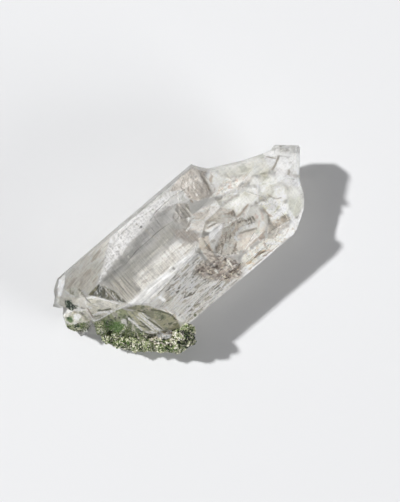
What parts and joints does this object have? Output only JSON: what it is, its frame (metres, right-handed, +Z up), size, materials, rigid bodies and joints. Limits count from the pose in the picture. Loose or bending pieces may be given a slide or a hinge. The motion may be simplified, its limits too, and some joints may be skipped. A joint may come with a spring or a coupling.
{
  "type": "chlorite quartz crystal",
  "caption": "Clear quartz crystal lying on its side, with green chlorite inside and a rough chlorite crust round its root, flat growth faces and a stepped, frosted break at the far end.",
  "frame": {"origin": "middle of the base of the whole piece's box, in the plane that it rests on", "axes": "+X along the crystal's long growth axis, from the crusted root to the broken end; +Z up, with the crystal lying on the flat under its prism"},
  "size_m": [0.074, 0.035, 0.024],
  "materials": {
    "clear_quartz": "glossy growth faces, frosted where it broke",
    "chlorite": "rough, granular"
  },
  "bodies": {
    "root": {"quartz_crystal": "clear_quartz", "chlorite_crust": "chlorite"}
  },
  "joints": []
}
